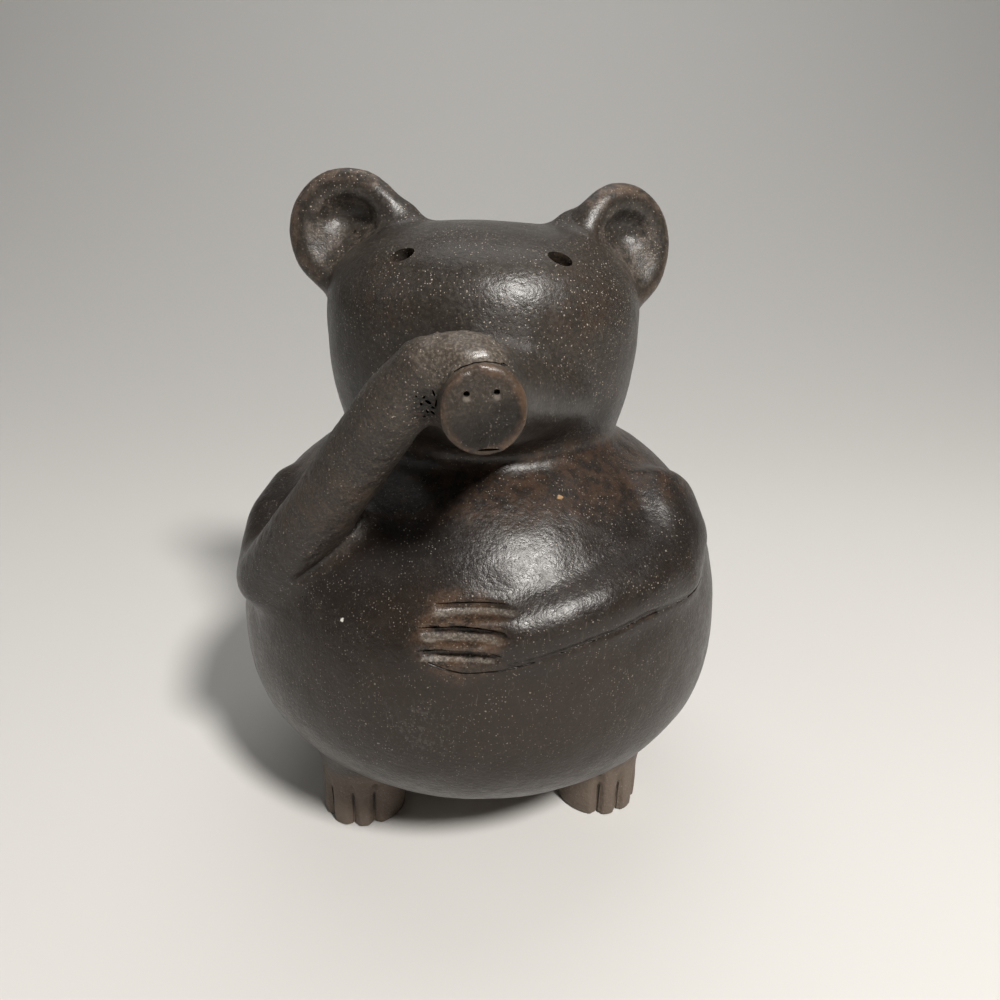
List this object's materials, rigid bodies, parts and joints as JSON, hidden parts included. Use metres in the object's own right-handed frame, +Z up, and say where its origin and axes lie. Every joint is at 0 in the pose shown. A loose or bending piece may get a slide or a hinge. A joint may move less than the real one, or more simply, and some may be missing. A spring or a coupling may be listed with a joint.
{
  "type": "pig figurine",
  "caption": "Squat hollow fired clay pig figurine on stub feet, a hand raised over its snout and an arm in low relief across the belly.",
  "frame": {"origin": "on the floor under the middle of the figurine's bounding box, in the plane of its soles", "axes": "+Z up, the face and snout look to -Y, +X to the viewer's right when the face is seen from the front"},
  "size_m": [0.1198, 0.1306, 0.1534],
  "materials": {
    "clay": "dark brown-black burnished fired clay with fine pale temper specks, worn reddish brown on the edges"
  },
  "bodies": {
    "root": {"pig_figurine": "clay"}
  },
  "joints": []
}
